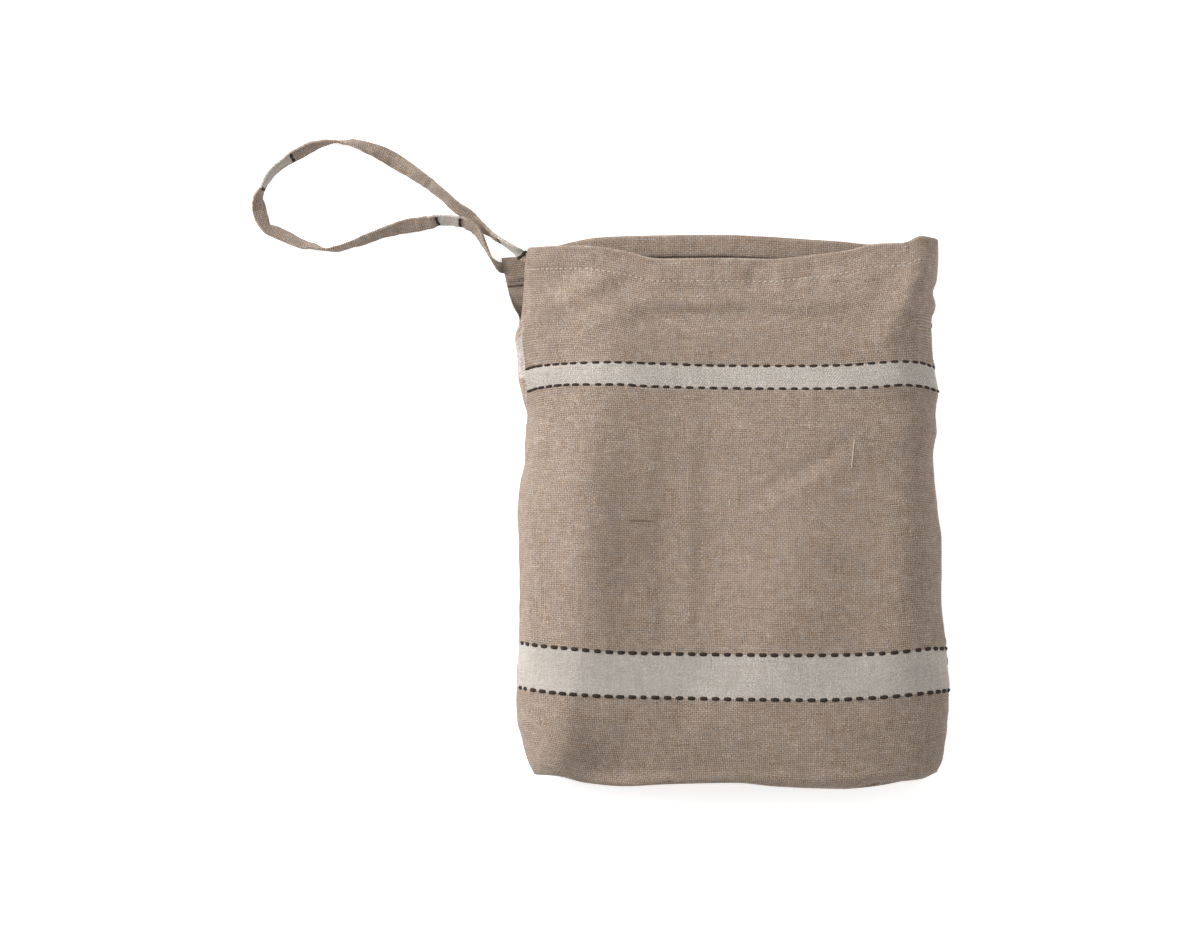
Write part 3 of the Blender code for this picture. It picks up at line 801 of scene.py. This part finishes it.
def woven(name, weave):
    """Yarns over and under each other, each with its own tone, with shade painted dark into the openings at
    their corners.
    """
    made, tree, shader = new_look(name, CLOTH_SHADER)
    run, yarns = cloth_places(tree)
    u, v = yarns
    warp = yarn_tones(tree, u, v, WARP_SEED, weave.warp)
    weft = yarn_tones(tree, v, u, WEFT_SEED, weave.weft)
    warp_hump, weft_hump = hump(tree, u), hump(tree, v)
    over = crossings(tree, u, v, weave.twill)
    colour = mix_colour(tree, over, weft, warp)
    # Painted shade: the openings between the yarns are darkened with the weave's dark shade colour.
    hole = gap_shade_share(tree, run, warp_hump, weft_hump, weave.gap)
    colour = mix_colour(tree, hole, colour, (*weave.hole, 1.0))
    colour = mottled(tree, colour, yarns, FIBRES, FIBRE_TONES)
    colour = mottled(tree, colour, run, CLOUDS, CLOUD_TONES)
    tree.links.new(colour, shader.inputs["Base Color"])
    relief(tree, shader, yarns, warp_hump, weft_hump, over)
    return made


# Plain yarns and threads, and the share of their colour in their dark grains
THREAD_SHADER = {"Roughness": 0.85, "Specular IOR Level": 0.2}
THREAD_GRAINS = {"Scale": 900}
THREAD_DARK = 0.8


def plain(name, colour):
    made, tree, shader = new_look(name, THREAD_SHADER)
    texture = node(tree, "TexNoise")
    settle(texture, THREAD_GRAINS)
    dark = tuple(c * THREAD_DARK for c in colour)
    spots = ramp(tree, texture.outputs["Fac"], [(0.3, dark), (0.7, colour)])
    tree.links.new(spots, shader.inputs["Base Color"])
    return made


# Tones of the yarns, each with its place in the noise
LINEN_WARP = [
    (0.25, (0.27, 0.201, 0.151)),
    (0.42, (0.39, 0.304, 0.236)),
    (0.52, (0.42, 0.338, 0.274)),
    (0.6, (0.37, 0.319, 0.283)),
    (0.75, (0.54, 0.451, 0.369)),
]
LINEN_WEFT = [
    (0.25, (0.25, 0.171, 0.123)),
    (0.42, (0.38, 0.284, 0.208)),
    (0.52, (0.34, 0.279, 0.236)),
    (0.62, (0.43, 0.333, 0.255)),
    (0.75, (0.52, 0.436, 0.35)),
]
CREAM_WARP = [(0.25, (0.467, 0.423, 0.376)), (0.5, (0.564, 0.515, 0.469)), (0.75, (0.651, 0.608, 0.567))]
CREAM_WEFT = [(0.25, (0.336, 0.293, 0.256)), (0.5, (0.423, 0.38, 0.338)), (0.75, (0.499, 0.456, 0.414))]

# The dark colour after the twill slope in each weave is painted shade for the openings between the yarns.
linen = woven("linen", Weave(LINEN_WARP, LINEN_WEFT, 0, (0.12, 0.07, 0.045), 1.5))
cream = woven("cream_twill", Weave(CREAM_WARP, CREAM_WEFT, 1.5, (0.24, 0.20, 0.16), 0.7))
charcoal = plain("charcoal_yarn", (0.045, 0.035, 0.03))
thread = plain("sewing_thread", (0.62, 0.54, 0.455))
brown = plain("brown_yarn", (0.27, 0.19, 0.135))

cloth = Cloth()
cloth.sides()
cloth.base()
pouch = make_mesh("pouch_linen", cloth.points, cloth.faces, cloth.uvs, (linen, cream), cloth.picks)
solid = pouch.modifiers.new("thickness", "SOLIDIFY")
solid.thickness = CLOTH
solid.offset = -1.0
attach(pouch, "root")
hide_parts("pouch_cloth")


# The tape's loop, laid out as the solid's: places in pixels, lift in millimetres, and turn in degrees
TAPE_ROUTE = table(
    "Route", "x y lift turn",
    (521, 254.2, 9.6, 150),
    (514.5, 249.6, 8.6, 112),
    (508, 245.3, 7.6, 104),
    (500, 240, 6, 100),
    (490, 233, 3.2, 105),
    (482, 227, 1, 120),
    (474, 220.5, 0, 134),
    (466, 213, 0, 134),
    (455.3, 206.3, 0, 130),
    (445.6, 196.8, 0, 125),
    (435, 188.3, 0, 128),
    (424.4, 180, 0, 135),
    (411.4, 171, 0, 145),
    (397.4, 162, 0, 170),
    (384.3, 154.5, 0, 200),
    (369.7, 148, 0, 223),
    (355, 143, 0, 244),
    (345, 141.7, 0, 259),
    (334, 141, 0, 272),
    (321.7, 142.7, 0, 290),
    (309.7, 146.7, 0, 310),
    (300, 152, 0, 312),
    (291.3, 156.7, 0, 311),
    (281.6, 163.3, 0, 300),
    (270, 173.8, 0, 296),
    (262.3, 186.8, 0, 285),
    (257.2, 197.6, 0, 305),
    (258.3, 208, 0, 336),
    (260.8, 217.4, 0, 330),
    (265.5, 227.6, 0, 306),
    (276, 232, 0, 318),
    (287, 237, 0, 314),
    (300, 243, 0, 303),
    (312.3, 246, 0, 287),
    (325, 249, 0, 270),
    (337, 248.2, 0, 254),
    (349.6, 244.5, 0, 252),
    (364.4, 239.3, 0, 237),
    (379.2, 233.5, 0, 236),
    (394.8, 228.5, 0, 220),
    (410.3, 225, 0, 202),
    (425.2, 222.7, 0, 210),
    (437, 219.9, 0.6, 228),
    (449, 219.8, 1.9, 232),
    (460, 221.5, 3.2, 232),
    (469, 224.5, 3.8, 234),
    (476, 230.5, 3.4, 240),
    (480.5, 237.5, 2.2, 250),
    (484, 245, 1, 258),
    (487.3, 251.3, 0.2, 266),
    (491, 257.7, 0, 270),
    (495.3, 262.5, 0, 284),
    (499, 265.8, 0.5, 315),
)
TAPE_WIDTH = 0.0071
TAPE_THICKNESS = 0.0013
TAPE_STEP = 0.0009
TAPE_DEPTH = 0.00525
# Steps of the curve between two places of the route, and the tape's gap over the floor
CURVE_STEPS = 20
FLOOR_GAP = 0.0003
# Columns into the casing that the curve comes from and goes on to, and the tape's turns there
HELD_COLUMNS = 6
HELD_TURNS = (180, 360)
SLOPE_REACH = 0.002
# The tape's gathers in the casing run out over its first stations outside
GATHER_SHARE = 0.47
GATHER_STATIONS = 10
# Places where the loop is creased across, with their reach in pixels, and the creases' lifts
CREASED = [(424, 178, 26), (418, 225, 22), (470, 222, 16)]
CREASE_BASE = 0.00015
CREASE_LIFT = 0.0006
BEND_LIFT = 0.0002
BENDS_TO_METRE = 160
CREASES_TO_METRE = 330
RIPPLES_TO_METRE = 420
RIPPLE_LIFT = 0.00012
RIPPLE_WIDEN = 10
# Where the cream bands cross the tape, in pixels
CROSSINGS = [((500, 240), (521.5, 254.5)), ((292, 157.5), (263, 189)), ((436, 220.5), (460, 221.5))]


def casing_line():
    """Centre and width direction of the tape in the casing at each ring column."""
    middle = skin_row(TAPE_DEPTH)
    centre = middle + ring_normals(middle, TAPE_DEPTH, 0.0) * (CASING_WALL / 2 * PRESSED)[:, None]
    up = skin_row(TAPE_DEPTH - SLOPE_REACH) - skin_row(TAPE_DEPTH + SLOPE_REACH)
    return centre, up / np.linalg.norm(up, axis=1)[:, None]


def route_stops(centre):
    """Places and turns that the free loop passes, from one end of the casing into the other."""
    leaving, arriving = (radians(turn) for turn in HELD_TURNS)
    stops = [(Vector(centre[k]), leaving) for k in (HELD_COLUMNS, 0)]
    for stop in TAPE_ROUTE:
        turn = radians(stop.turn)
        rest = (TAPE_WIDTH * abs(sin(turn)) + TAPE_THICKNESS * abs(cos(turn))) / 2
        stops.append((Vector((*place(stop.x, stop.y), rest + stop.lift / 1000 + FLOOR_GAP)), turn))
    return stops + [(Vector(centre[k]), arriving) for k in (RING, RING - HELD_COLUMNS)]


def between(a, b, c, d, t):
    """The point at a share t from b to c on the smooth curve through four points."""
    return (
        a * (-t + 2 * t * t - t**3)
        + b * (2 - 5 * t * t + 3 * t**3)
        + c * (t + 4 * t * t - 3 * t**3)
        + d * (t**3 - t * t)
    ) / 2


def free_stations(centre):
    """Even stations along the free loop, each with its place and its turn."""
    stops = route_stops(centre)
    fine = []
    for (a, _), (b, turn), (c, next_turn), (d, _) in zip(stops, stops[1:], stops[2:], stops[3:]):
        for step in range(CURVE_STEPS):
            t = step / CURVE_STEPS
            fine.append((between(a, b, c, d, t), turn + (next_turn - turn) * float(smooth(t))))
    stations, gone = [], 0.0
    for before, after in zip(fine, fine[1:]):
        gone += (after[0] - before[0]).length
        if gone >= TAPE_STEP:
            gone = 0.0
            stations.append(after)
    if (stations[-1][0] - Vector(centre[RING])).length < TAPE_STEP / 2:
        stations.pop()
    return stations


def tape_stations():
    """Centre, width and thickness directions of every station round the loop."""
    centre, width = casing_line()
    stations = free_stations(centre)
    frames = [(Vector(centre[k]), Vector(width[k]), None) for k in range(RING, -1, -1)]
    spots = [Vector(centre[0])] + [spot for spot, _ in stations] + [Vector(centre[RING])]
    for k, (spot, turn) in enumerate(stations):
        forward = (spots[k + 2] - spots[k]).normalized()
        side = Vector((0, 0, 1)).cross(forward).normalized()
        up = forward.cross(side)
        frames.append((spot, side * cos(turn) + up * sin(turn), forward))
    full = []
    for k, (spot, wide, forward) in enumerate(frames):
        if forward is None:
            forward = (frames[(k + 1) % len(frames)][0] - frames[k - 1][0]).normalized()
            wide = (wide - forward * wide.dot(forward)).normalized()
        full.append((spot, wide, forward.cross(wide)))
    return full


# Half of the tape's section in shares of its half width and thickness; the other half is turned about
HALF_SECTION = [(1.0, 0.0), (0.97, 0.7), (0.88, 1.0), (0.74, 0.72), (0.45, 0.95)]
HALF_SECTION += [(0.0, 1.0), (-0.5, 0.95), (-0.76, 0.8), (-0.9, 1.0), (-0.97, 0.7)]
TAPE_SECTION = HALF_SECTION + [(0.0 - across, 0.0 - over) for across, over in HALF_SECTION]


def nearest_station(frames, pixel):
    x, y = place(*pixel)
    spots = [(spot.x - x) ** 2 + (spot.y - y) ** 2 for spot, _, _ in frames[RING:]]
    return RING + spots.index(min(spots))


def lengths_along(frames):
    """Length from the first station to each one, and back to the first."""
    along = [0.0]
    for before, after in zip(frames, frames[1:] + frames[:1]):
        along.append(along[-1] + (after[0] - before[0]).length)
    return along


def tape_points(frames, along):
    """Points of every section, gathered in the casing and creased across outside."""
    creased = [(*place(x, y), reach * PIXEL) for x, y, reach in CREASED]
    points = []
    for k, (spot, wide, thick) in enumerate(frames):
        outside = max(min(k - RING, len(frames) - k), 0)
        slim = 1 - GATHER_SHARE * float(smooth(1 - outside / GATHER_STATIONS))
        crumple = sum(exp(-((hypot(spot.x - x, spot.y - y) / reach) ** 2)) for x, y, reach in creased)
        soft = BEND_LIFT * ripple(along[k] * BENDS_TO_METRE, 3, 0)
        soft += (CREASE_BASE + CREASE_LIFT * crumple) * ripple(along[k] * CREASES_TO_METRE, 6, 0)
        for across, over in TAPE_SECTION:
            wave = RIPPLE_LIFT * ripple(along[k] * RIPPLES_TO_METRE, across * 2, over)
            sideways = across * TAPE_WIDTH / 2 * (1 + RIPPLE_WIDEN * wave)
            upward = over * (TAPE_THICKNESS / 2 + wave) + soft
            points.append(spot + wide * (sideways * slim) + thick * upward * slim)
    return points


def make_tape():
    frames = tape_stations()
    along = lengths_along(frames)
    size = len(TAPE_SECTION)
    spans = [tuple(sorted(nearest_station(frames, end) for end in ends)) for ends in CROSSINGS]
    faces, uvs, picks = [], [], []
    for k in range(len(frames)):
        after = (k + 1) % len(frames)
        creamy = any(start <= k < stop for start, stop in spans)
        for m in range(size):
            n = (m + 1) % size
            faces.append((k * size + m, k * size + n, after * size + n, after * size + m))
            u1, u2 = TAPE_SECTION[m][0] * TAPE_WIDTH / 2, TAPE_SECTION[n][0] * TAPE_WIDTH / 2
            uvs += [(u1, along[k]), (u2, along[k]), (u2, along[k + 1]), (u1, along[k + 1])]
            picks.append(int(creamy))
    tape = make_mesh("tape_loop", tape_points(frames, along), faces, uvs, (linen, cream), picks)
    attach(tape, "root")
    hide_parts("drawstring_tape")
    path = [list(spot) for spot, _, _ in frames[RING:] + frames[: RING + 1]]
    total = sum((Vector(b) - Vector(a)).length for a, b in zip(path, path[1:]))
    return frames, spans


tape_frames, tape_spans = make_tape()


# Rows of dark floats beside the bands, and the sewing stitches
def row_index(along):
    body = [(abs(row.along - along), j) for j, row in enumerate(cloth.rows) if row.part in ("body", "casing")]
    return min(body)[1]


def on_skin(along, u):
    """A point of the outer skin with its outward, across and up directions, at a place u across."""
    j = row_index(along)
    points, out = cloth.skin[j], cloth.out[j]
    k = int(np.clip(np.searchsorted(cloth.u, u) - 1, 0, RING - 1))
    t = (u - cloth.u[k]) / (cloth.u[k + 1] - cloth.u[k])
    spot = Vector(points[k] * (1 - t) + points[k + 1] * t)
    across = Vector(points[k + 1] - points[k]).normalized()
    outward = Vector(out[k] * (1 - t) + out[k + 1] * t).normalized()
    return spot, outward, across, outward.cross(across)


# A float of yarn, and its rings: place in shares of its length, and girth
Dash = namedtuple("Dash", "length width height")
LENS_RINGS = ((-0.39, 0.8), (0.0, 1.0), (0.39, 0.8))
LENS_SIDES = 6


def lens(points, faces, spot, outward, across, up, dash, slant=0.0):
    """A small leaf-shaped float of yarn lying on the cloth."""
    start = len(points)
    turn = radians(slant)
    run = across * cos(turn) + up * sin(turn)
    rise = up * cos(turn) - across * sin(turn)
    for share, girth in LENS_RINGS:
        for side in range(LENS_SIDES):
            angle = 2 * pi * side / LENS_SIDES
            wide = rise * (cos(angle) * dash.width / 2 * girth)
            high = outward * (sin(angle) * dash.height / 2 * girth)
            points.append(spot + run * (share * dash.length) + (wide + high))
    tip = len(points)
    points.append(spot + run * (-0.5 * dash.length))
    points.append(spot + run * (0.5 * dash.length))
    last = tip - LENS_SIDES
    for side in range(LENS_SIDES):
        following = (side + 1) % LENS_SIDES
        for ring in range(start, last, LENS_SIDES):
            a, b = ring + side, ring + following
            faces.append((a, b, b + LENS_SIDES, a + LENS_SIDES))
        faces.append((start + following, start + side, tip))
        faces.append((last + side, last + following, tip + 1))


DASH_PITCH = 0.00542
DASH_SWAY = 0.0003
DASH_SLANT = 6
DASH_VARY = 0.25
NARROW_DASH = Dash(0.0037, 0.0014, 0.0009)
WIDE_DASH = Dash(0.0038, 0.0020, 0.0010)
# How far the rows of dashes stop short of the front's and the back's two edges
FRONT_SHORT = (0.003, 0.001)
BACK_SHORT = (0.002, 0.002)


def dash_rows():
    points, faces = [], []
    left, right, end = cloth.u[0], cloth.u[PANEL], cloth.u[-1]
    front = (FRONT_ROWS, left + FRONT_SHORT[0], right - FRONT_SHORT[1])
    back = (BACK_ROWS, right + BACK_SHORT[0], end - BACK_SHORT[1])
    for rows, start, stop in (front, back):
        for name, along in rows.items():
            dash = NARROW_DASH if name.startswith("narrow") else WIDE_DASH
            for k in range(int((stop - start) / DASH_PITCH)):
                sway = DASH_SWAY * ripple(k * 3.7, along * 50, 1.0)
                slant = DASH_SLANT * ripple(k * 2.9, along * 70, 4.0)
                size = 1 + DASH_VARY * ripple(k * 5.1, along * 90, 7.0)
                spot = on_skin(along, start + (k + 0.5) * DASH_PITCH + sway)
                lens(points, faces, *spot, dash._replace(length=dash.length * size), slant)
    made = make_mesh("band_floats", points, faces, looks=(charcoal,))
    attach(made, "root")


dash_rows()

STITCH_PITCH = 0.0027
STITCH_RISE = 0.0002
STITCH = Dash(STITCH_PITCH * 0.66, 0.0006, 0.0005)


def stitches():
    """The casing's stitches, which show on the outside and on the hem."""
    points, faces = [], []
    for k in range(int((cloth.u[-1] - cloth.u[0]) / STITCH_PITCH)):
        spot, outward, across, up = on_skin(STITCH_DEPTH, cloth.u[0] + (k + 0.5) * STITCH_PITCH)
        for depth, facing in ((STITCH_RISE, outward), (-HEM_WALL - STITCH_RISE, -outward)):
            lens(points, faces, spot + outward * depth, facing, across, up, STITCH)
    made = make_mesh("casing_stitches", points, faces, looks=(thread,))
    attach(made, "root")


stitches()


# Slubs, thick places of yarns: both ends in pixels, width in millimetres and whether it is light
SLUB_HEIGHT = 0.0003
SLUB_RISE = 0.0001
SLUBS = table(
    "Slub", "x1 y1 x2 y2 width light",
    (854, 437, 851, 470, 0.55, True),
    (729, 499, 729.5, 506, 0.4, True),
    (604, 452, 612, 450, 0.35, True),
    (758, 318, 770, 315, 0.3, True),
    (806, 305, 807, 318, 0.3, True),
    (688, 470, 687.5, 492, 0.3, True),
    (628, 520, 656, 521, 0.36, False),
    (812, 458, 838, 457, 0.3, False),
    (575, 556, 598, 557, 0.3, False),
    (742, 608, 772, 609, 0.34, False),
    (668, 745, 690, 744, 0.3, False),
)


def skin_finder():
    """The nearest column and row of the front's skin to a place seen from above."""
    rows = [j for j, row in enumerate(cloth.rows) if row.part == "body" and row.turn == 0]
    grid = np.array([cloth.skin[j][: PANEL + 1] for j in rows])

    def find(x, y):
        away = (grid[:, :, 0] - x) ** 2 + (grid[:, :, 1] - y) ** 2
        j, k = np.unravel_index(np.argmin(away), away.shape)
        return Vector(grid[j, k]), Vector(cloth.out[rows[j]][k])

    return find


def slubs():
    find = skin_finder()
    for name, look, light in (("light_slubs", thread, True), ("dark_slubs", brown, False)):
        points, faces = [], []
        for slub in (slub for slub in SLUBS if slub.light == light):
            start, stop = place(slub.x1, slub.y1), place(slub.x2, slub.y2)
            x, y = (start[0] + stop[0]) / 2, (start[1] + stop[1]) / 2
            low, high, (middle, outward) = find(*start)[0], find(*stop)[0], find(x, y)
            run = Vector((stop[0] - start[0], stop[1] - start[1], high.z - low.z))
            outward = outward.normalized()
            across = run.normalized()
            spot = Vector((x, y, middle.z + SLUB_RISE))
            dash = Dash(run.length, slub.width / 1000, SLUB_HEIGHT)
            lens(points, faces, spot, outward, across, outward.cross(across), dash)
        made = make_mesh(name, points, faces, looks=(look,))
        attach(made, "root")


slubs()

# Floats on the tape: size, places in shares of the half width, slant, and share of the half thickness
TAPE_DASH = Dash(0.0031, 0.0016, 0.0008)
TAPE_DASH_PLACES = (-0.42, 0.42)
TAPE_DASH_SLANT = 18
TAPE_DASH_SINK = 0.9


def tape_dashes():
    """Dark floats across the tape at each edge of its cream stretches."""
    points, faces = [], []
    for k in sum(tape_spans, ()):
        spot, wide, thick = tape_frames[k]
        along = thick.cross(wide)
        for share in TAPE_DASH_PLACES:
            for face in (1, -1):
                sunk = thick * (face * TAPE_THICKNESS / 2 * TAPE_DASH_SINK)
                at = spot + wide * (share * TAPE_WIDTH / 2) + sunk
                slant = TAPE_DASH_SLANT * share
                lens(points, faces, at, thick * face, wide * face, along, TAPE_DASH, slant)
    made = make_mesh("tape_floats", points, faces, looks=(charcoal,))
    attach(made, "root")


tape_dashes()


# Floor and light
FLOOR_REACH = 3.0
FLOOR_HEIGHT = -0.0002
FLOOR_SHADER = {
    "Base Color": (0.86, 0.86, 0.86, 1),
    "Roughness": 0.9,
    "Specular IOR Level": 0.0,
    "Emission Color": (1, 1, 1, 1),
    "Emission Strength": 0.62,
}
SKY_GLOW = 0.26
# Lights that look at the origin: place and size in metres, and power in watts
Light = namedtuple("Light", "name place size power")
LIGHTS = (
    Light("key", (-1.6, 0.9, 1.0), (1.6, 1.2), 51),
    Light("fill", (1.1, 0.3, 1.7), (1.6, 1.6), 11),
    Light("top", (-0.3, 0.2, 2.2), (1.4, 1.4), 4),
)


def floor():
    corners = ((-1, -1), (1, -1), (1, 1), (-1, 1))
    points = [(x * FLOOR_REACH, y * FLOOR_REACH, FLOOR_HEIGHT) for x, y in corners]
    look = new_look("white_table", FLOOR_SHADER)[0]
    made = make_mesh("floor", points, [(0, 1, 2, 3)], looks=(look,))


def area_light(light):
    data = bpy.data.lights.new(light.name, "AREA")
    data.shape = "RECTANGLE"
    data.size, data.size_y = light.size
    data.energy = light.power
    made = bpy.data.objects.new(light.name, data)
    made.location = light.place
    made.rotation_euler = (-Vector(light.place)).to_track_quat("-Z", "Y").to_euler()
    scene.collection.objects.link(made)


def sky():
    world = bpy.data.worlds.new("studio")
    world.use_nodes = True
    background = world.node_tree.nodes["Background"]
    background.inputs[0].default_value = (1, 1, 1, 1)
    background.inputs[1].default_value = SKY_GLOW
    scene.world = world


floor()
for lamp in LIGHTS:
    area_light(lamp)
sky()
scene.view_settings.view_transform = "Standard"
scene.view_settings.look = "None"
